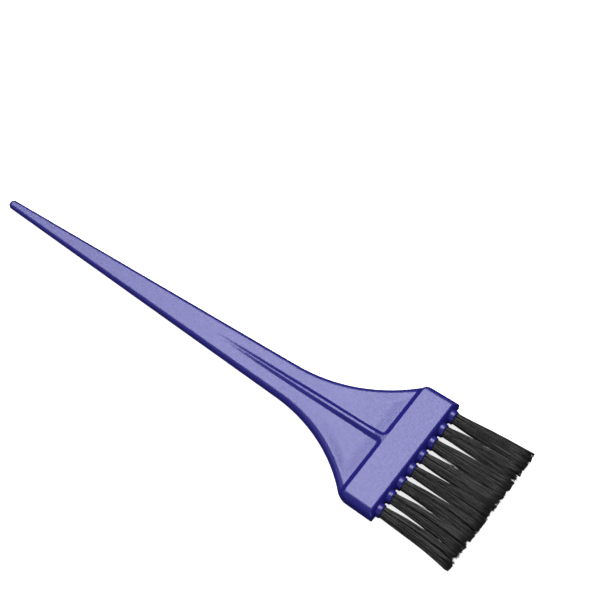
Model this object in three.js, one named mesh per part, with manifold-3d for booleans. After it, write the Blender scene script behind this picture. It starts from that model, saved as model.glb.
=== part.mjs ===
// Salon tint brush: a one-piece moulded handle and a single row of bristle tufts, each
// folded round a metal anchor at the bottom of its blind hole.
//
// Millimetres. x runs from the tail tip (0) to the bristle ends (LENGTH), y runs across
// the head, and z is measured from the mid-plane of the head bar and the tufts. The group
// at the end carries everything to its resting frame: x centred, and the flat underside of
// the head bar on z = 0.

import * as THREE from "three";
import { mergeVertices } from "three/addons/utils/BufferGeometryUtils.js";
import Module from "manifold-3d";

const wasm = await Module();
wasm.setup();

// Overall
const LENGTH = 215;
const CLEARANCE = 0.3;

// Tail: a straight taper that ends in a rounded tip
const TAIL_TIP_HALF_WIDTH = 1.67;
const TAIL_TAPER = 0.0452;
const TIP_ROUNDING = 1.5;
const TIP_ARC_DEGREES = [12, 35, 60];
const TAIL_STEPS = 6;

// Flare: from the shoulder each side is one arc, tangent to the taper, out to the bar
const SHOULDER_X = 126.7;
const FLARE_RADIUS = 60.7;
const FLARE_STEPS = 14;

// Head bar
const BAR_BACK_X = 167;
const BAR_FRONT_X = 183.2;
const BAR_HALF_WIDTH = 27.6;
const BAR_NARROWING = 0.4;
const BAR_HALF_THICKNESS = 3.55;
const BAR_EDGE_RADIUS = 2.8;
const BAR_CORNER_RADIUS = 3.1;
const BAR_EDGE_STEPS = 6;
const BAR_CORNER_STEPS = 4;

// Heights of the lower and upper faces at the tail's tip, the shoulder and the bar. The
// underside is one flat face from the shoulder on.
const FACES = [
  { x: 0, lower: -2.76, upper: -0.3 },
  { x: SHOULDER_X, lower: -BAR_HALF_THICKNESS, upper: 0.57 },
  { x: BAR_BACK_X, lower: -BAR_HALF_THICKNESS, upper: 1.84 },
];

// Tail and flare edges are rounded right across, as a share of the half-thickness
const EDGE_ROUNDNESS = 0.95;
const EDGE_STEPS = 4;

// The blade runs on inside the bar, a little narrower, to close the bar's rounded back
const BLADE_LAP = 4;
const BLADE_LAP_INSET = 1;

// Rib on the upper face: its height above that face, and half its width on top
const RIB_STATIONS = [
  { x: 94, height: 0.02, topHalfWidth: 0.05 },
  { x: 114, height: 0.33, topHalfWidth: 0.1 },
  { x: 148, height: 0.65, topHalfWidth: 0.4 },
  { x: 165, height: 0.85, topHalfWidth: 0.55 },
  { x: 168.5, height: 1.62, topHalfWidth: 0.7 },
];
const RIB_FLANK_WIDTH = 1.9;
const RIB_SINK = 0.5;

// Collars and their blind holes. A hole's cutter overruns its mouth
const TUFT_COUNT = 8;
const TUFT_PITCH = 6.46;
const COLLAR_RADIUS = 3;
const COLLAR_END_X = 184.9;
const COLLAR_ROUNDING = 0.5;
const COLLAR_LAP = 3;
const COLLAR_SIDES = 24;
const COLLAR_ARC_DEGREES = [0, 30, 60, 90];
const HOLE_RADIUS = 2.45;
const HOLE_BOTTOM_X = 173.5;
const HOLE_OVERRUN = 1;

// Tufts: round in the hole, spreading until they nearly touch, then one flat row
const TUFT_RADIUS = HOLE_RADIUS - CLEARANCE;
const MERGE_X = 199;
const END_PITCH = 7;
const TUFT_END_HALF_THICKNESS = 2.2;
const SPREAD_STEPS = 4;

// Anchors: short flat wires driven across the fold of each tuft, standing in z so that
// their ends bite where the hole walls are thickest
const ANCHOR_X = 176.2;
const ANCHOR_DEPTH = 2;
const ANCHOR_THICKNESS = 0.4;
const ANCHOR_HEIGHT = 5.5;

// Looks
const PLASTIC = { color: 0x3a36a0, roughness: 0.35, metalness: 0 };
const NYLON = { color: 0x2c2e30, roughness: 0.6, metalness: 0 };
const WIRE = { color: 0xb8a56c, roughness: 0.35, metalness: 1 };

// Meshing: how near two corners are before they are one, and how much of a half-side a
// corner's rounding may take up
const WELD_DISTANCE = 1e-4;
const MOST_ROUNDING = 0.98;

const lerp = THREE.MathUtils.lerp;
const inverseLerp = THREE.MathUtils.inverseLerp;

// ---------------------------------------------------------------- solids

function toSolid(geometry) {
  geometry.deleteAttribute("normal");
  geometry.deleteAttribute("uv");
  const merged = mergeVertices(geometry, WELD_DISTANCE);
  return new wasm.Manifold(
    new wasm.Mesh({
      numProp: 3,
      vertProperties: new Float32Array(merged.attributes.position.array),
      triVerts: new Uint32Array(merged.index.array),
    }),
  );
}

function toGeometry(solid) {
  const mesh = solid.getMesh();
  const geometry = new THREE.BufferGeometry();
  geometry.setAttribute("position", new THREE.BufferAttribute(mesh.vertProperties, 3));
  geometry.setIndex(new THREE.BufferAttribute(mesh.triVerts, 1));
  geometry.computeVertexNormals();
  return geometry;
}

// Closed skin over a list of sections along x. Each section is { x, outline }, with every
// outline the same number of [y, z] points, anticlockwise seen from +x.
function loft(sections) {
  const count = sections[0].outline.length;
  const positions = sections.flatMap(({ x, outline }) => outline.flatMap(([y, z]) => [x, y, z]));
  const triangles = [];
  for (let s = 0; s < sections.length - 1; s += 1) {
    for (let p = 0; p < count; p += 1) {
      const near = s * count + p;
      const nearNext = s * count + ((p + 1) % count);
      triangles.push(near, nearNext, near + count);
      triangles.push(nearNext, nearNext + count, near + count);
    }
  }
  const last = (sections.length - 1) * count;
  for (let p = 1; p < count - 1; p += 1) {
    triangles.push(0, p + 1, p);
    triangles.push(last, last + p, last + p + 1);
  }
  const geometry = new THREE.BufferGeometry();
  geometry.setAttribute("position", new THREE.Float32BufferAttribute(positions, 3));
  geometry.setIndex(triangles);
  return geometry;
}

// Rectangle with rounded corners, as [y, z] points anticlockwise.
function roundedOutline(halfWidth, halfThickness, radius, stepsPerCorner) {
  const r = Math.min(radius, MOST_ROUNDING * halfWidth, MOST_ROUNDING * halfThickness);
  const outline = [];
  for (let corner = 0; corner < 4; corner += 1) {
    const sideY = corner === 0 || corner === 3 ? 1 : -1;
    const sideZ = corner < 2 ? 1 : -1;
    for (let step = 0; step <= stepsPerCorner; step += 1) {
      const angle = (corner + step / stepsPerCorner) * (Math.PI / 2);
      outline.push([
        sideY * (halfWidth - r) + r * Math.cos(angle),
        sideZ * (halfThickness - r) + r * Math.sin(angle),
      ]);
    }
  }
  return outline;
}

// ---------------------------------------------------------------- handle

// Half-width of the tail and flare in plan.
function bladeHalfWidth(x) {
  const taper = TAIL_TIP_HALF_WIDTH + TAIL_TAPER * x;
  if (x <= SHOULDER_X) return taper;
  const angle = Math.atan(TAIL_TAPER);
  const centreX = SHOULDER_X - FLARE_RADIUS * Math.sin(angle);
  const shoulder = TAIL_TIP_HALF_WIDTH + TAIL_TAPER * SHOULDER_X;
  const centreY = shoulder + FLARE_RADIUS * Math.cos(angle);
  const arc = centreY - Math.sqrt(FLARE_RADIUS ** 2 - (x - centreX) ** 2);
  return Math.min(arc, BAR_HALF_WIDTH - BLADE_LAP_INSET);
}

// Height of the blade's lower or upper face.
function faceHeight(x, face) {
  const last = FACES.length - 1;
  const ahead = FACES.findIndex((station) => station.x > x);
  if (ahead < 0) return FACES[last][face];
  const start = FACES[ahead - 1];
  return lerp(start[face], FACES[ahead][face], inverseLerp(start.x, FACES[ahead].x, x));
}

function bladeSection(x, shrink) {
  const lower = faceHeight(x, "lower");
  const upper = faceHeight(x, "upper");
  const middle = (lower + upper) / 2;
  const halfThickness = (shrink * (upper - lower)) / 2;
  const halfWidth = shrink * bladeHalfWidth(x);
  const radius = EDGE_ROUNDNESS * halfThickness;
  const outline = roundedOutline(halfWidth, halfThickness, radius, EDGE_STEPS);
  return { x, outline: outline.map(([y, z]) => [y, z + middle]) };
}

function makeBlade() {
  const sections = [];
  for (const degrees of TIP_ARC_DEGREES) {
    const angle = THREE.MathUtils.degToRad(degrees);
    sections.push(bladeSection(TIP_ROUNDING * (1 - Math.cos(angle)), Math.sin(angle)));
  }
  for (let step = 0; step < TAIL_STEPS; step += 1) {
    sections.push(bladeSection(lerp(TIP_ROUNDING, SHOULDER_X, step / TAIL_STEPS), 1));
  }
  for (let step = 0; step <= FLARE_STEPS; step += 1) {
    sections.push(bladeSection(lerp(SHOULDER_X, BAR_BACK_X, step / FLARE_STEPS), 1));
  }
  sections.push(bladeSection(BAR_BACK_X + BLADE_LAP, 1));
  return toSolid(loft(sections));
}

// The rib stands on the upper face only. Its narrow top widens from a point, its flanks
// slope down into the blade, and its end sweeps up to the level of the bar.
function makeRib() {
  const sections = RIB_STATIONS.map(({ x, height, topHalfWidth }) => {
    const face = faceHeight(x, "upper");
    const base = face - RIB_SINK;
    const baseHalfWidth = topHalfWidth + RIB_FLANK_WIDTH;
    const outline = [
      [baseHalfWidth, base],
      [topHalfWidth, face + height],
      [-topHalfWidth, face + height],
      [-baseHalfWidth, base],
    ];
    return { x, outline };
  });
  return toSolid(loft(sections));
}

// The bar's plan, drawn in by the edge radius that the bevel then adds back. It narrows
// slightly from the front to the back.
function makeBarPlan() {
  const r = BAR_CORNER_RADIUS - BAR_EDGE_RADIUS;
  const back = BAR_BACK_X + BAR_CORNER_RADIUS;
  const front = BAR_FRONT_X - BAR_CORNER_RADIUS;
  const wide = BAR_HALF_WIDTH - BAR_CORNER_RADIUS;
  const narrow = wide - BAR_NARROWING;
  const plan = new THREE.Shape();
  plan.absarc(back, -narrow, r, Math.PI, 1.5 * Math.PI);
  plan.absarc(front, -wide, r, 1.5 * Math.PI, 2 * Math.PI);
  plan.absarc(front, wide, r, 0, 0.5 * Math.PI);
  plan.absarc(back, narrow, r, 0.5 * Math.PI, Math.PI);
  return plan;
}

function makeBar() {
  const geometry = new THREE.ExtrudeGeometry(makeBarPlan(), {
    depth: 2 * (BAR_HALF_THICKNESS - BAR_EDGE_RADIUS),
    bevelThickness: BAR_EDGE_RADIUS,
    bevelSize: BAR_EDGE_RADIUS,
    bevelSegments: BAR_EDGE_STEPS,
    curveSegments: BAR_CORNER_STEPS,
  });
  geometry.translate(0, 0, BAR_EDGE_RADIUS - BAR_HALF_THICKNESS);
  return toSolid(geometry);
}

function tuftY(index, pitch) {
  return (index - (TUFT_COUNT - 1) / 2) * pitch;
}

// A round boss on the bar's front wall, its free edge rounded.
function makeCollar(index) {
  const y = tuftY(index, TUFT_PITCH);
  const ring = (x, radius) => {
    const outline = [];
    for (let side = 0; side < COLLAR_SIDES; side += 1) {
      const angle = (side / COLLAR_SIDES) * 2 * Math.PI;
      outline.push([y + radius * Math.cos(angle), radius * Math.sin(angle)]);
    }
    return { x, outline };
  };
  const sections = [ring(BAR_FRONT_X - COLLAR_LAP, COLLAR_RADIUS)];
  for (const degrees of COLLAR_ARC_DEGREES) {
    const angle = THREE.MathUtils.degToRad(degrees);
    const x = COLLAR_END_X - COLLAR_ROUNDING * (1 - Math.sin(angle));
    sections.push(ring(x, COLLAR_RADIUS - COLLAR_ROUNDING * (1 - Math.cos(angle))));
  }
  return toSolid(loft(sections));
}

// The blind hole's room, a little longer than the hole so that its mouth is open.
function holeRod(index) {
  const length = COLLAR_END_X + HOLE_OVERRUN - HOLE_BOTTOM_X;
  const geometry = new THREE.CylinderGeometry(HOLE_RADIUS, HOLE_RADIUS, length, COLLAR_SIDES);
  geometry.rotateZ(Math.PI / 2);
  geometry.translate(HOLE_BOTTOM_X + length / 2, tuftY(index, TUFT_PITCH), 0);
  return toSolid(geometry);
}

// An anchor's flat wire, grown by a margin on every side.
function anchorBlock(index, margin) {
  const geometry = new THREE.BoxGeometry(
    ANCHOR_DEPTH + 2 * margin,
    ANCHOR_THICKNESS + 2 * margin,
    ANCHOR_HEIGHT + 2 * margin,
  );
  geometry.translate(ANCHOR_X, tuftY(index, TUFT_PITCH), 0);
  return geometry;
}

// The space an anchor takes out of the hole walls and out of the tuft folded round it.
function anchorRoom(index) {
  return toSolid(anchorBlock(index, CLEARANCE));
}

function makeHandle() {
  let handle = makeBlade().add(makeRib()).add(makeBar());
  for (let i = 0; i < TUFT_COUNT; i += 1) {
    handle = handle.add(makeCollar(i));
  }
  for (let i = 0; i < TUFT_COUNT; i += 1) {
    handle = handle.subtract(holeRod(i)).subtract(anchorRoom(i));
  }
  return toGeometry(handle);
}

// ---------------------------------------------------------------- tufts

// A tuft is round in its hole. Past the collar it spreads sideways to fill its share of
// the row, and each share widens a little towards the ends.
function tuftSection(index, x) {
  const along = Math.max(0, inverseLerp(COLLAR_END_X, LENGTH, x));
  const spread = THREE.MathUtils.clamp(inverseLerp(COLLAR_END_X, MERGE_X, x), 0, 1);
  const pitch = lerp(TUFT_PITCH, END_PITCH, along);
  const halfWidth = lerp(TUFT_RADIUS, (pitch - CLEARANCE) / 2, spread);
  const halfThickness = lerp(TUFT_RADIUS, TUFT_END_HALF_THICKNESS, spread);
  const centre = tuftY(index, pitch);
  const outline = roundedOutline(halfWidth, halfThickness, TUFT_RADIUS, EDGE_STEPS);
  return { x, outline: outline.map(([y, z]) => [centre + y, z]) };
}

function makeTuft(index) {
  const stations = [HOLE_BOTTOM_X + CLEARANCE];
  for (let step = 0; step <= SPREAD_STEPS; step += 1) {
    stations.push(lerp(COLLAR_END_X, MERGE_X, step / SPREAD_STEPS));
  }
  stations.push((MERGE_X + LENGTH) / 2, LENGTH);
  const bundle = toSolid(loft(stations.map((x) => tuftSection(index, x))));
  return toGeometry(bundle.subtract(anchorRoom(index)));
}

// ---------------------------------------------------------------- assembly

function addPiece(group, name, geometry, look) {
  const mesh = new THREE.Mesh(geometry, new THREE.MeshStandardMaterial(look));
  mesh.name = name;
  group.add(mesh);
}

const brush = new THREE.Group();
addPiece(brush, "handle", makeHandle(), PLASTIC);
for (let i = 0; i < TUFT_COUNT; i += 1) {
  addPiece(brush, `tuft_${i + 1}`, makeTuft(i), NYLON);
  addPiece(brush, `anchor_${i + 1}`, anchorBlock(i, 0), WIRE);
}
brush.position.set(-LENGTH / 2, 0, BAR_HALF_THICKNESS);

export default brush;
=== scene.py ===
"""The tint brush's looks: a satin moulded handle, nylon tufts and their wire anchors."""

import math

import bpy
import numpy as np
from mathutils import Matrix, Vector


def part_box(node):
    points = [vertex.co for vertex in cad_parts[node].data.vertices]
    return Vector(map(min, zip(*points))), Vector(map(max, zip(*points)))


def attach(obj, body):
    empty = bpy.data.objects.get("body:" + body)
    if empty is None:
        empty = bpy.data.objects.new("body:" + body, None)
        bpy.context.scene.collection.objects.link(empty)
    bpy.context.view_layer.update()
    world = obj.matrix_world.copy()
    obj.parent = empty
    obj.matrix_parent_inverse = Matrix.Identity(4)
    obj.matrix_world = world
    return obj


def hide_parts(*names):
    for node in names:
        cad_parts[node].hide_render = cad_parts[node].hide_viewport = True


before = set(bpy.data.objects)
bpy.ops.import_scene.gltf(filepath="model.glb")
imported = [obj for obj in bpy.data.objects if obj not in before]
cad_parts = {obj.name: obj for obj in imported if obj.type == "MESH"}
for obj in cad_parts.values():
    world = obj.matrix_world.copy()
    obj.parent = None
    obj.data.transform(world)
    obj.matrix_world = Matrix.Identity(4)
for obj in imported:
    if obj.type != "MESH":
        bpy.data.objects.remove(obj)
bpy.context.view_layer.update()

MM = 0.001
RANDOM = np.random.default_rng(20)

# ------------------------------------------------------------------ sizes, in millimetres
# x runs from the tail tip, y across the head and z from the bar's mid-plane, as in the
# design. Where the frame already says a size, it is read from there.

_, HANDLE_HIGH = (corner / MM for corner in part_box("handle"))
TUFT_LOW, TUFT_HIGH = (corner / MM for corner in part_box("tuft_1"))
ANCHOR_LOW, ANCHOR_HIGH = (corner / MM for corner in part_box("anchor_1"))
TUFT_COUNT = sum(name.startswith("tuft_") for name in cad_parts)

HALF_LENGTH = 107.5
BAR_HALF_THICKNESS = HANDLE_HIGH[2] / 2
TUFT_PITCH = 6.46
TUFT_ROOT_X = TUFT_LOW[0] + HALF_LENGTH
TUFT_END_X = TUFT_HIGH[0] + HALF_LENGTH
ANCHOR_BACK_X = ANCHOR_LOW[0] + HALF_LENGTH
ANCHOR_FRONT_X = ANCHOR_HIGH[0] + HALF_LENGTH

# Outline from above: a taper, then an arc tangent to it. Past FLARE_END_X the arc is wider
# than the bar, and only the bar's end walls bound it.
TAIL_TIP_HALF_WIDTH = 1.67
TAIL_TIP_ROUNDING = 0.95 * TAIL_TIP_HALF_WIDTH
TAIL_TAPER = 0.0452
TAPER_ANGLE = math.atan(TAIL_TAPER)
SHOULDER_X = 126.7
SHOULDER_HALF_WIDTH = TAIL_TIP_HALF_WIDTH + TAIL_TAPER * SHOULDER_X
FLARE_RADIUS = 60.7
FLARE_CENTRE_X = SHOULDER_X - FLARE_RADIUS * math.sin(TAPER_ANGLE)
FLARE_CENTRE_Y = SHOULDER_HALF_WIDTH + FLARE_RADIUS * math.cos(TAPER_ANGLE)
FLARE_END_X = FLARE_CENTRE_X + 0.8 * FLARE_RADIUS

# Rounding of the long edges, as a share of the half-thickness
EDGE_ROUNDNESS = 0.98

# Stations along the handle, and the heights of its underside and of its upper face there
STATIONS = (0.0, SHOULDER_X, 163.0, 168.0)
UNDERSIDE = (-2.76, -BAR_HALF_THICKNESS, -BAR_HALF_THICKNESS, -BAR_HALF_THICKNESS)
UPPER_FACE = (-0.3, 0.57, 1.76, 1.86)

# Rib: its height above the upper face, its half-width, and the width of its flanks
RIB_STATIONS = (94.0, 114.0, 132.0, 148.0, 165.0, 169.5)
RIB_HEIGHTS = (0.0, 0.4, 0.62, 0.75, 0.9, BAR_HALF_THICKNESS - UPPER_FACE[-1])
RIB_HALF_WIDTHS = (0.3, 0.65, 0.95, 1.1, 1.2, 1.3)
RIB_RAMP = 1.65

# Web: a shallow dish on each side of the rib, inside a raised rim
WEB_DISH_START_X = 138.0
WEB_DISH_FULL_X = 160.0
WEB_DISH_RISE = 6.0
WEB_DISH_DEPTH = 0.38
WEB_RIM = 1.5

# Head bar. Its back slopes down over BAR_RAMP, and the rib's narrower flanks widen to that
# between two places along x, a little earlier further out. Its end walls lean by BAR_FLARE.
BAR_BACK_X = 168.5
BAR_RAMP = 2.0
RAMP_WIDENS_FROM_X = 160
RAMP_WIDENS_TO_X = 168
RAMP_WIDENS_SKEW = 0.5
BAR_JUNCTION_RADIUS = 1.8
BAR_FRONT_X = 183.0
BAR_HALF_WIDTH = 27.6
BAR_EDGE_RADIUS = 2.9
BAR_TOP_FRONT_X = 181.45
BAR_FRONT_EDGE_RADIUS = 0.5
FRONT_LEAN = math.radians(39)
BAR_FLARE = 0.03
FLARE_CORNER_RADIUS = 2.0

# Collars and their holes
COLLAR_RADIUS = 2.68
COLLAR_ROOT_X = BAR_FRONT_X - 6
COLLAR_END_X = 184.7
COLLAR_ROUNDING = 1.0
COLLAR_FILLET = 0.3
HOLE_RADIUS = 2.2
HOLE_BOTTOM_ROUNDING = 0.3
RIM_ROUNDING = 0.1

# Grid that the handle is meshed on: stretches of start, end and spacing along x, and the
# number of lines across the head and through its thickness
GRID_STRETCHES = (
    (-0.6, 3, 0.25),
    (3, 92, 1.0),
    (92, 164, 0.5),
    (164, 172, 0.3),
    (172, 180, 0.5),
    (180, COLLAR_END_X + 1, 0.18),
)
GRID_LINES_Y = 206
GRID_LINES_Z = 36
GRID_MARGIN_Y = 1
GRID_MARGIN_Z = 0.7

# Settling of the mesh on the handle's skin: the least squared slope that a move is divided
# by, the longest single move, and how often the mesh is evened out
LEAST_STEEPNESS = 0.05
LONGEST_MOVE = 0.3
RELAX_ROUNDS = 3


def to_row(points):
    """Design millimetres to metres in the row frame."""
    shift = np.array([-HALF_LENGTH, 0.0, BAR_HALF_THICKNESS])
    return (points + shift) * MM


# ------------------------------------------------------------------ handle as a distance field


def common(a, b, radius):
    """Where both fields are inside, with the convex edge between them rounded."""
    over = np.hypot(np.maximum(a + radius, 0), np.maximum(b + radius, 0))
    return np.minimum(np.maximum(a, b), -radius) + over


def joined(a, b, radius):
    """Where either field is inside, with a concave fillet between them."""
    return -common(-a, -b, radius)


def eased(value, low, high):
    """0 below low, 1 above high, and a smooth S between them."""
    t = np.clip((value - low) / (high - low), 0, 1)
    return t * t * (3 - 2 * t)


def blade_half_width(x):
    """Half-width of the tail and flare in plan: a taper, then an arc tangent to it."""
    over = np.clip(FLARE_RADIUS**2 - (x - FLARE_CENTRE_X) ** 2, 0, None)
    arc = FLARE_CENTRE_Y - np.sqrt(over)
    return np.where(x < SHOULDER_X, TAIL_TIP_HALF_WIDTH + TAIL_TAPER * x, arc)


def web_dish(x, y):
    """Depth of the shallow hollow in the web, rising to its outer edge and to the bar."""
    from_edge = eased(blade_half_width(x) - y, WEB_RIM, WEB_RIM + WEB_DISH_RISE)
    from_bar = eased(BAR_BACK_X - x, 0, WEB_DISH_RISE)
    return WEB_DISH_DEPTH * eased(x, WEB_DISH_START_X, WEB_DISH_FULL_X) * from_edge * from_bar


def plan_field(x, y):
    """Distance to the outline from above: a taper, an arc tangent to it, and the bar."""
    far_outside, far_inside = FLARE_CENTRE_Y, -20
    taper = (y - TAIL_TIP_HALF_WIDTH - TAIL_TAPER * x) * math.cos(TAPER_ANGLE)
    arc = FLARE_RADIUS - np.hypot(x - FLARE_CENTRE_X, y - FLARE_CENTRE_Y)
    arc = np.where(y > FLARE_CENTRE_Y - 1, far_outside, arc)
    side = np.where(x < SHOULDER_X, taper, arc)
    side = np.where(x > FLARE_END_X, far_inside, side)
    wall = y - BAR_HALF_WIDTH - BAR_FLARE * (x - BAR_FRONT_X)
    side = common(side, wall, FLARE_CORNER_RADIUS)
    return common(side, -x, TAIL_TIP_ROUNDING)


def upper_height(x, y):
    """Height of the upper face: the blade, with the rib and the bar raised out of it."""
    face = np.interp(x, STATIONS, UPPER_FACE)
    rib = y - np.interp(x, RIB_STATIONS, RIB_HALF_WIDTHS)
    raised = joined(rib, BAR_BACK_X - x, BAR_JUNCTION_RADIUS)
    widened = eased(x + RAMP_WIDENS_SKEW * y, RAMP_WIDENS_FROM_X, RAMP_WIDENS_TO_X)
    ramp = RIB_RAMP + (BAR_RAMP - RIB_RAMP) * widened
    crest = np.interp(x, RIB_STATIONS, RIB_HEIGHTS)
    lift = eased(-raised, -ramp / 2, ramp / 2)
    return face + crest * lift - web_dish(x, y) * (1 - lift)


def nearest_tuft_offset(y):
    """How far y is from the middle of the nearest tuft."""
    middle = (TUFT_COUNT - 1) / 2
    index = np.clip(np.round(y / TUFT_PITCH + middle), 0, TUFT_COUNT - 1)
    return y - (index - middle) * TUFT_PITCH


def handle_field(x, y, z):
    """Signed distance, in millimetres, to the moulding's skin. Negative inside."""
    offset = nearest_tuft_offset(y)
    y = np.abs(y)
    top, bottom = upper_height(x, y), np.interp(x, STATIONS, UNDERSIDE)
    half = (top - bottom) / 2
    rounding = np.minimum(EDGE_ROUNDNESS * half, BAR_EDGE_RADIUS)
    body = common(plan_field(x, y), np.abs(z - (top + bottom) / 2) - half, rounding)
    ahead, above = x - BAR_TOP_FRONT_X, np.abs(z) - BAR_HALF_THICKNESS
    slant = ahead * math.cos(FRONT_LEAN) + above * math.sin(FRONT_LEAN)
    front = common(slant, x - BAR_FRONT_X, BAR_FRONT_EDGE_RADIUS)
    body = common(body, front, BAR_FRONT_EDGE_RADIUS)
    radial = np.hypot(offset, z)
    collar = common(radial - COLLAR_RADIUS, x - COLLAR_END_X, COLLAR_ROUNDING)
    body = joined(body, np.maximum(collar, COLLAR_ROOT_X - x), COLLAR_FILLET)
    hole = common(radial - HOLE_RADIUS, TUFT_ROOT_X - x, HOLE_BOTTOM_ROUNDING)
    return common(body, -hole, RIM_ROUNDING)


def field_slope(field, points, step=0.01):
    """The field's slope at each point, from central differences."""
    slope = np.empty_like(points)
    for axis in range(3):
        ahead, behind = points.copy(), points.copy()
        ahead[:, axis] += step
        behind[:, axis] -= step
        slope[:, axis] = (field(*ahead.T) - field(*behind.T)) / (2 * step)
    return slope


def settle_on_skin(field, points, rounds=3):
    """Moves points along the field's slope until they lie on its zero surface."""
    for _ in range(rounds):
        slope = field_slope(field, points)
        steep = np.maximum((slope**2).sum(1), LEAST_STEEPNESS)
        move = (field(*points.T) / steep)[:, None] * slope
        points = points - np.clip(move, -LONGEST_MOVE, LONGEST_MOVE)
    return points


def skin_of_field(field, xs, ys, zs):
    """Closed quad mesh of the field's zero surface, one vertex in each cell it crosses."""
    values = field(*np.meshgrid(xs, ys, zs, indexing="ij"))
    inside = values < 0
    shape = np.array(inside.shape) - 1
    count = np.zeros(shape, int)
    for i in (0, 1):
        for j in (0, 1):
            for k in (0, 1):
                count += inside[i : i + shape[0], j : j + shape[1], k : k + shape[2]]
    crossed = (count > 0) & (count < 8)
    number = np.full(shape, -1)
    number[crossed] = np.arange(crossed.sum())
    cells = np.argwhere(crossed)
    middles = [(line[:-1] + line[1:]) / 2 for line in (xs, ys, zs)]
    points = np.stack([middles[axis][cells[:, axis]] for axis in range(3)], 1)
    quads = []
    for axis in range(3):
        b, c = (axis + 1) % 3, (axis + 2) % 3
        low = inside.take(range(shape[axis]), axis)
        high = inside.take(range(1, shape[axis] + 1), axis)
        at = np.argwhere(low != high)
        leaves = low[tuple(at.T)]
        around = []
        for step_b, step_c in ((1, 1), (0, 1), (0, 0), (1, 0)):
            cell = at.copy()
            cell[:, b] -= step_b
            cell[:, c] -= step_c
            around.append(number[tuple(cell.T)])
        quad = np.stack(around, 1)
        quad[~leaves] = quad[~leaves][:, ::-1]
        quads.append(quad)
    return points, np.concatenate(quads)


def relaxed(points, quads):
    """Each vertex moved to the average of its neighbours along the mesh's edges."""
    total, degree = np.zeros_like(points), np.zeros(len(points))
    for a in range(4):
        start, end = quads[:, a], quads[:, (a + 1) % 4]
        for here, there in ((start, end), (end, start)):
            np.add.at(total, here, points[there])
            np.add.at(degree, here, 1)
    return total / degree[:, None]


def grid_lines(stretches):
    """One rising list of places from (start, end, spacing) stretches."""
    lines = [np.arange(start, end, spacing) for start, end, spacing in stretches]
    return np.concatenate(lines)


def make_mesh_object(name, points, faces, flat_count=0):
    """An object with the given mesh, in metres, smooth except for its last flat_count faces."""
    mesh = bpy.data.meshes.new(name)
    mesh.from_pydata(points.tolist(), [], faces)
    mesh.validate()
    smooth = np.ones(len(faces), bool)
    smooth[len(faces) - flat_count :] = False
    mesh.polygons.foreach_set("use_smooth", smooth)
    piece = bpy.data.objects.new(name, mesh)
    bpy.context.scene.collection.objects.link(piece)
    return piece


def make_handle():
    """The moulding, meshed from its distance field and shaded from the field's slope."""
    width = BAR_HALF_WIDTH + GRID_MARGIN_Y
    height = BAR_HALF_THICKNESS + GRID_MARGIN_Z
    xs = grid_lines(GRID_STRETCHES)
    ys = np.linspace(-width, width, GRID_LINES_Y)
    zs = np.linspace(-height, height, GRID_LINES_Z)
    points, quads = skin_of_field(handle_field, xs, ys, zs)
    points = settle_on_skin(handle_field, points)
    for _ in range(RELAX_ROUNDS):
        points = settle_on_skin(handle_field, relaxed(points, quads), rounds=2)
    normals = field_slope(handle_field, points)
    normals /= np.linalg.norm(normals, axis=1)[:, None]
    piece = make_mesh_object("handle_moulding", to_row(points), quads.tolist())
    piece.data.normals_split_custom_set_from_vertices(normals.tolist())
    return piece


# ------------------------------------------------------------------ tufts

# Each filament is a whole one, folded in two, so a tuft shows twice as many ends
FILAMENTS = 135
FILAMENT_RADIUS = 0.12
FILAMENT_SIDES = 5
FREE_STATIONS = 11
BUNDLE_RADIUS = 2.06
ROOT_DISORDER = 0.05
LEAST_ROOT_Y = 0.32
STRAIGHT_LENGTH = 1.5

# The fold round the anchor: its shallowest depth, what is added to that at the bundle's
# rim, and the number of stations round it
FOLD_DEPTH = 0.35
FOLD_DEPTH_AT_RIM = 0.5
FOLD_STATIONS = 5

# Free ends: the space they fill, their disorder, how the whole row fans out and sways, and
# where and how early along their length they spread
END_HALF_WIDTH = 3.75
END_HALF_THICKNESS = 1.9
END_CROWDING = 0.8
END_DISORDER = (0.3, 0.25)
END_SPLAY = 0.06
ROW_SWAY = 0.35
SPREAD_START_X = COLLAR_END_X - 1
SPREAD_POWER = 0.95

# Locks: ends drawn part of the way to a few places, and ending early or late together.
# A pair is of y and z, except for pull and limits (low, high) and reach (mean, spread).
LOCKS = 7
LOCK_SPAN = 0.93
LOCK_HEIGHT_SPAN = 0.7
LOCK_NEARNESS = (1, 0.6)
LOCK_PULL = (0.0, 0.3)
LOCK_PULL_BY_AXIS = (1, 0.5)
LOCK_REACH = (-0.15, 0.6)
REACH_DISORDER = 0.45
REACH_LIMITS = (-1.8, 0.3)

# Bends of single filaments: one bow and one S, in y and z
BOW = (0.2, 0.22)
WAVE = (0.12, 0.12)


def tuft_centre(index):
    """The middle of a tuft in y."""
    return (index - (TUFT_COUNT - 1) / 2) * TUFT_PITCH


def half_disc_points(count, radius):
    """Evenly packed places in the half disc y > 0, with a little disorder."""
    places = []
    golden = math.pi * (3 - math.sqrt(5))
    for i in range(2 * count):
        r = radius * math.sqrt((i + 0.5) / (2 * count))
        places.append((r * math.cos(i * golden), r * math.sin(i * golden)))
    places = np.array(places)
    places[:, 0] = np.abs(places[:, 0])
    return places[::2] + RANDOM.normal(0, ROOT_DISORDER, (count, 2))


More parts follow.
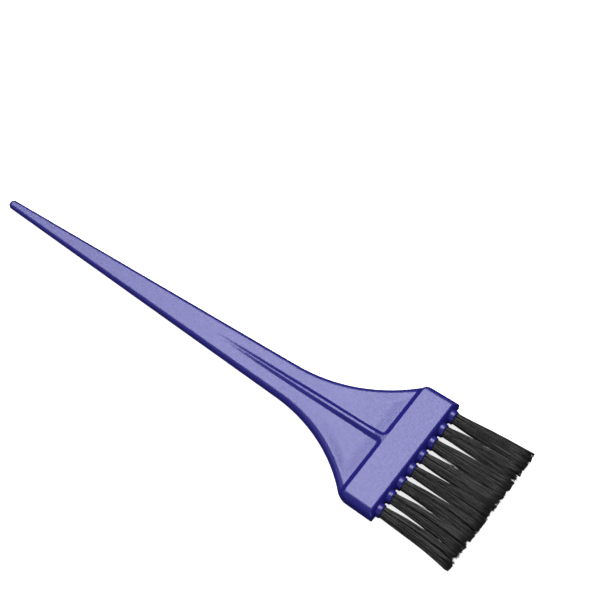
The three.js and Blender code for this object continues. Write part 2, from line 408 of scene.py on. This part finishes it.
def tip_places(roots, side, lock_places, lock_reach):
    """Where filaments end: spread out from their roots, and drawn together in locks."""
    y = side * np.sign(roots[:, 0]) * (np.abs(roots[:, 0]) / BUNDLE_RADIUS) ** END_CROWDING
    z = roots[:, 1] / BUNDLE_RADIUS
    places = np.stack([y * END_HALF_WIDTH, z * END_HALF_THICKNESS], 1)
    places += RANDOM.normal(0, 1, places.shape) * END_DISORDER
    gap = np.linalg.norm((places[:, None] - lock_places[None]) * LOCK_NEARNESS, axis=2)
    lock = gap.argmin(1)
    pull = RANDOM.uniform(*LOCK_PULL, len(roots))[:, None]
    places += (lock_places[lock] - places) * pull * LOCK_PULL_BY_AXIS
    reach = lock_reach[lock] + RANDOM.normal(0, REACH_DISORDER, len(roots))
    return places, reach


def free_lengths(roots, side, lock_places, lock_reach):
    """Filament halves from the anchor to the tip: an array of filament, station, xyz."""
    tips, reach = tip_places(roots, side, lock_places, lock_reach)
    stations = np.linspace(0, 1, FREE_STATIONS)
    start_x = ANCHOR_FRONT_X + STRAIGHT_LENGTH
    end_x = TUFT_END_X + np.clip(reach, *REACH_LIMITS)
    x = start_x + (end_x[:, None] - start_x) * stations
    opened = np.clip((x - SPREAD_START_X) / (TUFT_END_X - SPREAD_START_X), 0, None)
    root = np.stack([side * roots[:, 0], roots[:, 1]], 1)
    bow = RANDOM.normal(0, 1, (len(roots), 2)) * BOW
    wave = RANDOM.normal(0, 1, (len(roots), 2)) * WAVE
    curve = np.sin(math.pi * opened)[:, :, None] * bow[:, None]
    curve += np.sin(2 * math.pi * opened)[:, :, None] * wave[:, None]
    spread = opened**SPREAD_POWER
    across = root[:, None] + (tips - root)[:, None] * spread[:, :, None] + curve
    return np.concatenate([x[:, :, None], across], 2)


def folded_filaments(index):
    """Centre lines of whole filaments, tip to tip, each folded round the tuft's anchor."""
    roots = half_disc_points(FILAMENTS, BUNDLE_RADIUS)
    roots[:, 0] = np.maximum(roots[:, 0], LEAST_ROOT_Y)
    lock_y = np.linspace(-END_HALF_WIDTH, END_HALF_WIDTH, LOCKS) * LOCK_SPAN
    lock_z = RANDOM.uniform(-LOCK_HEIGHT_SPAN, LOCK_HEIGHT_SPAN, LOCKS) * END_HALF_THICKNESS
    lock_places = np.stack([lock_y, lock_z], 1)
    lock_reach = RANDOM.normal(*LOCK_REACH, LOCKS)
    there = free_lengths(roots, 1, lock_places, lock_reach)
    back = free_lengths(roots, -1, lock_places, lock_reach)
    turns = np.linspace(0, math.pi, FOLD_STATIONS)
    depth = FOLD_DEPTH + FOLD_DEPTH_AT_RIM * roots[:, :1] / BUNDLE_RADIUS
    loop_x = ANCHOR_BACK_X - depth * np.sin(turns)
    loop_y = roots[:, :1] * np.cos(turns)
    loop_z = np.repeat(roots[:, 1:], len(turns), 1)
    loop = np.stack([loop_x, loop_y, loop_z], 2)
    lines = np.concatenate([there[:, ::-1], loop, back], 1)
    out = np.clip((lines[:, :, 0] - COLLAR_END_X) / (TUFT_END_X - COLLAR_END_X), 0, 1)
    lines[:, :, 1] += tuft_centre(index) * (1 + END_SPLAY * out**2)
    lines[:, :, 1] += ROW_SWAY * np.sin(math.pi * out)
    return lines


def tubes(lines, radius, sides):
    """Closed tubes of round section along many centre lines at once, the caps last."""
    count, stations = lines.shape[:2]
    ahead = np.gradient(lines, axis=1)
    ahead /= np.linalg.norm(ahead, axis=2)[:, :, None]
    up = np.array([0.0, 0.0, 1.0])
    side = np.cross(ahead, up)
    side /= np.linalg.norm(side, axis=2)[:, :, None]
    top = np.cross(side, ahead)
    angles = np.arange(sides) * 2 * math.pi / sides
    ring = np.cos(angles)[:, None] * side[:, :, None] + np.sin(angles)[:, None] * top[:, :, None]
    points = (lines[:, :, None] + radius * ring).reshape(-1, 3)
    first = np.arange(count)[:, None, None] * stations * sides
    ring_start = first + np.arange(stations - 1)[:, None] * sides
    here = ring_start + np.arange(sides)
    beside = ring_start + (np.arange(sides) + 1) % sides
    walls = np.stack([here, here + sides, beside + sides, beside], -1).reshape(-1, 4)
    starts = first[:, 0] + np.arange(sides)
    ends = starts + (stations - 1) * sides
    return points, walls.tolist() + starts.tolist() + ends[:, ::-1].tolist()


def make_tuft(index):
    """One tuft, as the tubes of its folded filaments."""
    points, faces = tubes(folded_filaments(index), FILAMENT_RADIUS, FILAMENT_SIDES)
    name = f"tuft_{index + 1}_filaments"
    return make_mesh_object(name, to_row(points), faces, flat_count=2 * FILAMENTS)


# ------------------------------------------------------------------ materials

# Colours are linear. A noise scale is a number of features in a metre, and the part of the
# noise between NOISE_LOW and NOISE_HIGH runs from the first value of a pair to the second.
NOISE_LOW = 0.3
NOISE_HIGH = 0.7

PLASTIC_COLOURS = ((0.0085, 0.0072, 0.118), (0.0105, 0.0092, 0.142))
PLASTIC_ROUGHNESS = (0.29, 0.35)
PLASTIC_IOR = 1.49
PLASTIC_SPECULAR = 0.8
PLASTIC_SPECULAR_TINT = (0.635, 0.64, 0.92, 1)
PLASTIC_NOISE_DETAIL = 3
PLASTIC_MOTTLE_SCALE = 700
PLASTIC_ROUGHNESS_SCALE = 1100
PLASTIC_GRAIN_SCALE = 1700
PLASTIC_GRAIN_DEPTH = 0.00008
PLASTIC_GRAIN_STRENGTH = 0.8

NYLON_COLOURS = ((0.0015, 0.0015, 0.0018), (0.033, 0.034, 0.0345))
NYLON_ROUGHNESS = (0.38, 0.6)
NYLON_SPECULAR = 0.45
NYLON_NOISE_DETAIL = 2
NYLON_STREAK_SCALE = 2600
NYLON_STREAK_STRETCH = (22, 1, 1)
NYLON_ROUGHNESS_SCALE = 900
NYLON_ROUGHNESS_STRETCH = (6, 1, 1)

WIRE_COLOURS = ((0.58, 0.44, 0.2), (0.75, 0.6, 0.32))
WIRE_ROUGHNESS = (0.25, 0.45)
WIRE_NOISE_DETAIL = 3
WIRE_GRAIN_SCALE = 4000
WIRE_GRAIN_STRETCH = (1, 1, 12)


def new_material(name):
    material = bpy.data.materials.new(name)
    material.use_nodes = True
    nodes = material.node_tree.nodes
    return material, nodes, material.node_tree.links, nodes["Principled BSDF"]


def noise(nodes, links, scale, detail, stretch=(1, 1, 1)):
    """Noise in object space, its features stretched by the given amounts along x, y, z."""
    place = nodes.new("ShaderNodeTexCoord")
    mapping = nodes.new("ShaderNodeMapping")
    mapping.inputs["Scale"].default_value = [scale / s for s in stretch]
    links.new(place.outputs["Object"], mapping.inputs["Vector"])
    texture = nodes.new("ShaderNodeTexNoise")
    texture.inputs["Scale"].default_value = 1.0
    texture.inputs["Detail"].default_value = detail
    links.new(mapping.outputs["Vector"], texture.inputs["Vector"])
    return texture.outputs["Fac"]


def remapped(nodes, links, value, low, high):
    """A number from low to high along the middle part of the noise."""
    node = nodes.new("ShaderNodeMapRange")
    node.inputs["From Min"].default_value = NOISE_LOW
    node.inputs["From Max"].default_value = NOISE_HIGH
    node.inputs["To Min"].default_value = low
    node.inputs["To Max"].default_value = high
    links.new(value, node.inputs["Value"])
    return node.outputs["Result"]


def blended(nodes, links, value, first, second):
    """A colour from first to second along the middle part of the noise."""
    ramp = nodes.new("ShaderNodeValToRGB")
    stops = zip(ramp.color_ramp.elements, (NOISE_LOW, NOISE_HIGH), (first, second))
    for stop, position, colour in stops:
        stop.position = position
        stop.color = (*colour, 1)
    links.new(value, ramp.inputs["Fac"])
    return ramp.outputs["Color"]


def bumped(nodes, links, height, distance, strength, shader):
    """A fine relief on the shader's surface."""
    node = nodes.new("ShaderNodeBump")
    node.inputs["Distance"].default_value = distance
    node.inputs["Strength"].default_value = strength
    links.new(height, node.inputs["Height"])
    links.new(node.outputs["Normal"], shader.inputs["Normal"])


def moulded_plastic():
    """Satin blue-violet plastic, faintly mottled, with a fine moulded grain."""
    material, nodes, links, shader = new_material("handle_plastic")
    mottle = noise(nodes, links, PLASTIC_MOTTLE_SCALE, PLASTIC_NOISE_DETAIL)
    links.new(blended(nodes, links, mottle, *PLASTIC_COLOURS), shader.inputs["Base Color"])
    patches = noise(nodes, links, PLASTIC_ROUGHNESS_SCALE, PLASTIC_NOISE_DETAIL)
    links.new(remapped(nodes, links, patches, *PLASTIC_ROUGHNESS), shader.inputs["Roughness"])
    shader.inputs["IOR"].default_value = PLASTIC_IOR
    shader.inputs["Specular IOR Level"].default_value = PLASTIC_SPECULAR
    shader.inputs["Specular Tint"].default_value = PLASTIC_SPECULAR_TINT
    grain = noise(nodes, links, PLASTIC_GRAIN_SCALE, PLASTIC_NOISE_DETAIL)
    bumped(nodes, links, grain, PLASTIC_GRAIN_DEPTH, PLASTIC_GRAIN_STRENGTH, shader)
    return material


def nylon():
    """Black nylon, streaked along the filaments."""
    material, nodes, links, shader = new_material("bristle_nylon")
    detail = NYLON_NOISE_DETAIL
    streaks = noise(nodes, links, NYLON_STREAK_SCALE, detail, NYLON_STREAK_STRETCH)
    links.new(blended(nodes, links, streaks, *NYLON_COLOURS), shader.inputs["Base Color"])
    patches = noise(nodes, links, NYLON_ROUGHNESS_SCALE, detail, NYLON_ROUGHNESS_STRETCH)
    links.new(remapped(nodes, links, patches, *NYLON_ROUGHNESS), shader.inputs["Roughness"])
    shader.inputs["Specular IOR Level"].default_value = NYLON_SPECULAR
    return material


def drawn_wire():
    """Brass wire, its grain running along its length."""
    material, nodes, links, shader = new_material("anchor_wire")
    grain = noise(nodes, links, WIRE_GRAIN_SCALE, WIRE_NOISE_DETAIL, WIRE_GRAIN_STRETCH)
    links.new(blended(nodes, links, grain, *WIRE_COLOURS), shader.inputs["Base Color"])
    shader.inputs["Metallic"].default_value = 1.0
    links.new(remapped(nodes, links, grain, *WIRE_ROUGHNESS), shader.inputs["Roughness"])
    return material


# ------------------------------------------------------------------ stage, camera and light

# Angles in degrees, and everything else in metres, but the lens and sensor in millimetres
CAMERA_AZIMUTH = 33.69
CAMERA_ELEVATION = 60.78
CAMERA_ROLL = 2.228
CAMERA_DISTANCE = 0.96146
CAMERA_LENS = 158.24
CAMERA_SENSOR = 36
CAMERA_CLIP_START = 0.01
CAMERA_AIM = Vector((0.004066, 0.02931, 0.003546))


def view_axes(azimuth, elevation, roll):
    """Right, up and back directions of a camera at that angle round the brush."""
    a, e, r = (math.radians(v) for v in (azimuth, elevation, roll))
    back = Vector((math.sin(a) * math.cos(e), -math.cos(a) * math.cos(e), math.sin(e)))
    level = Vector((math.cos(a), math.sin(a), 0))
    raised = back.cross(level)
    right = level * math.cos(r) + raised * math.sin(r)
    return right, back.cross(right), back


def make_camera():
    right, up, back = view_axes(CAMERA_AZIMUTH, CAMERA_ELEVATION, CAMERA_ROLL)
    data = bpy.data.cameras.new("camera")
    data.sensor_width = CAMERA_SENSOR
    data.lens = CAMERA_LENS
    data.clip_start = CAMERA_CLIP_START
    camera = bpy.data.objects.new("camera", data)
    turn = Matrix((right, up, back)).transposed().to_4x4()
    camera.matrix_world = Matrix.Translation(CAMERA_AIM + CAMERA_DISTANCE * back) @ turn
    bpy.context.scene.collection.objects.link(camera)
    bpy.context.scene.camera = camera


def make_area_light(name, direction, distance, size, watts):
    """A square lamp that faces the brush from the given direction and distance."""
    data = bpy.data.lights.new(name, "AREA")
    data.shape = "SQUARE"
    data.size = size
    data.energy = watts
    light = bpy.data.objects.new(name, data)
    light.location = direction.normalized() * distance
    light.rotation_euler = direction.to_track_quat("Z", "Y").to_euler()
    bpy.context.scene.collection.objects.link(light)
    return light


# The softbox stands near where the upper face reflects the camera's view, turned a little
# from there about X and then about Y
SOFTBOX_TURN = 5.5
SOFTBOX_SIDE_TURN = 4.5
SOFTBOX_SIZE = 0.75
SOFTBOX_WATTS = 17.6
LIGHT_DISTANCE = 1.3

# Name, direction from the brush, size and watts of each smaller light
FILL_LIGHTS = (
    ("near_fill", (0.35, -0.85, 0.55), 0.7, 2.2),
    ("tail_fill", (-0.8, -0.35, 0.6), 0.6, 1.3),
    ("far_fill", (0.3, 0.9, 0.55), 0.6, 0.3),
)


def make_lights():
    _, _, back = view_axes(CAMERA_AZIMUTH, CAMERA_ELEVATION, 0)
    mirror = Vector((-back.x, -back.y, back.z))
    nearer = Matrix.Rotation(math.radians(SOFTBOX_TURN), 3, "X") @ mirror
    nearer = Matrix.Rotation(math.radians(SOFTBOX_SIDE_TURN), 3, "Y") @ nearer
    make_area_light("softbox", nearer, LIGHT_DISTANCE, SOFTBOX_SIZE, SOFTBOX_WATTS)
    for name, direction, size, watts in FILL_LIGHTS:
        make_area_light(name, Vector(direction), LIGHT_DISTANCE, size, watts)


# The world's light grows with the ray's slant towards FILL_DIRECTION, from one strength at
# the lower slant and below to the other at the higher slant. Reflections see a dim world.
FILL_DIRECTION = (-0.6, -0.3, 0.8)
FILL_SLANTS = (-0.45, 1.0)
FILL_STRENGTHS = (0.16, 1.05)
REFLECTED_STRENGTH = 0.025


def make_world():
    world = bpy.data.worlds.new("studio")
    bpy.context.scene.world = world
    world.use_nodes = True
    nodes, links = world.node_tree.nodes, world.node_tree.links
    fill = nodes["Background"]
    fill.inputs["Color"].default_value = (1, 1, 1, 1)
    place = nodes.new("ShaderNodeTexCoord")
    facing = nodes.new("ShaderNodeVectorMath")
    facing.operation = "DOT_PRODUCT"
    facing.inputs[1].default_value = FILL_DIRECTION
    links.new(place.outputs["Generated"], facing.inputs[0])
    strength = nodes.new("ShaderNodeMapRange")
    for socket, value in zip(("From Min", "From Max"), FILL_SLANTS):
        strength.inputs[socket].default_value = value
    for socket, value in zip(("To Min", "To Max"), FILL_STRENGTHS):
        strength.inputs[socket].default_value = value
    links.new(facing.outputs["Value"], strength.inputs["Value"])
    links.new(strength.outputs["Result"], fill.inputs["Strength"])
    dark = nodes.new("ShaderNodeBackground")
    dark.inputs["Strength"].default_value = REFLECTED_STRENGTH
    rays = nodes.new("ShaderNodeLightPath")
    mix = nodes.new("ShaderNodeMixShader")
    links.new(rays.outputs["Is Glossy Ray"], mix.inputs["Fac"])
    links.new(fill.outputs["Background"], mix.inputs[1])
    links.new(dark.outputs["Background"], mix.inputs[2])
    links.new(mix.outputs["Shader"], nodes["World Output"].inputs["Surface"])


# The floor lies just under the brush, so that no two faces share a plane. It neither lights
# the brush nor shows in its reflections.
FLOOR_DROP = 0.0001
FLOOR_HALF = 3.0
FLOOR_GREY = 0.86
FLOOR_ROUGHNESS = 0.9
FLOOR_GLOW = 0.75


def make_floor():
    half, z = FLOOR_HALF, -FLOOR_DROP
    corners = np.array([[-half, -half, z], [half, -half, z], [half, half, z], [-half, half, z]])
    floor = make_mesh_object("floor", corners, [[0, 1, 2, 3]])
    material, _, _, shader = new_material("floor_paper")
    shader.inputs["Base Color"].default_value = (FLOOR_GREY, FLOOR_GREY, FLOOR_GREY, 1)
    shader.inputs["Roughness"].default_value = FLOOR_ROUGHNESS
    shader.inputs["Emission Color"].default_value = (1, 1, 1, 1)
    shader.inputs["Emission Strength"].default_value = FLOOR_GLOW
    floor.data.materials.append(material)
    floor.visible_glossy = False
    floor.visible_diffuse = False


# ------------------------------------------------------------------ the scene


def finish_piece(piece, material, slot, *nodes):
    """Gives a piece its material, and says what it replaces and its body. The slot is not used.
    """
    piece.data.materials.append(material)
    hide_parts(*nodes)
    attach(piece, "root")


make_camera()
make_world()
make_lights()
make_floor()

finish_piece(make_handle(), moulded_plastic(), "handle_plastic", "handle")
nylon_material = nylon()
for i in range(TUFT_COUNT):
    finish_piece(make_tuft(i), nylon_material, "bristle_nylon", f"tuft_{i + 1}")
wire = drawn_wire()
for i in range(TUFT_COUNT):
    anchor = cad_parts[f"anchor_{i + 1}"]
    anchor.data.materials.clear()
    anchor.data.materials.append(wire)

bpy.context.scene.view_settings.view_transform = "Standard"
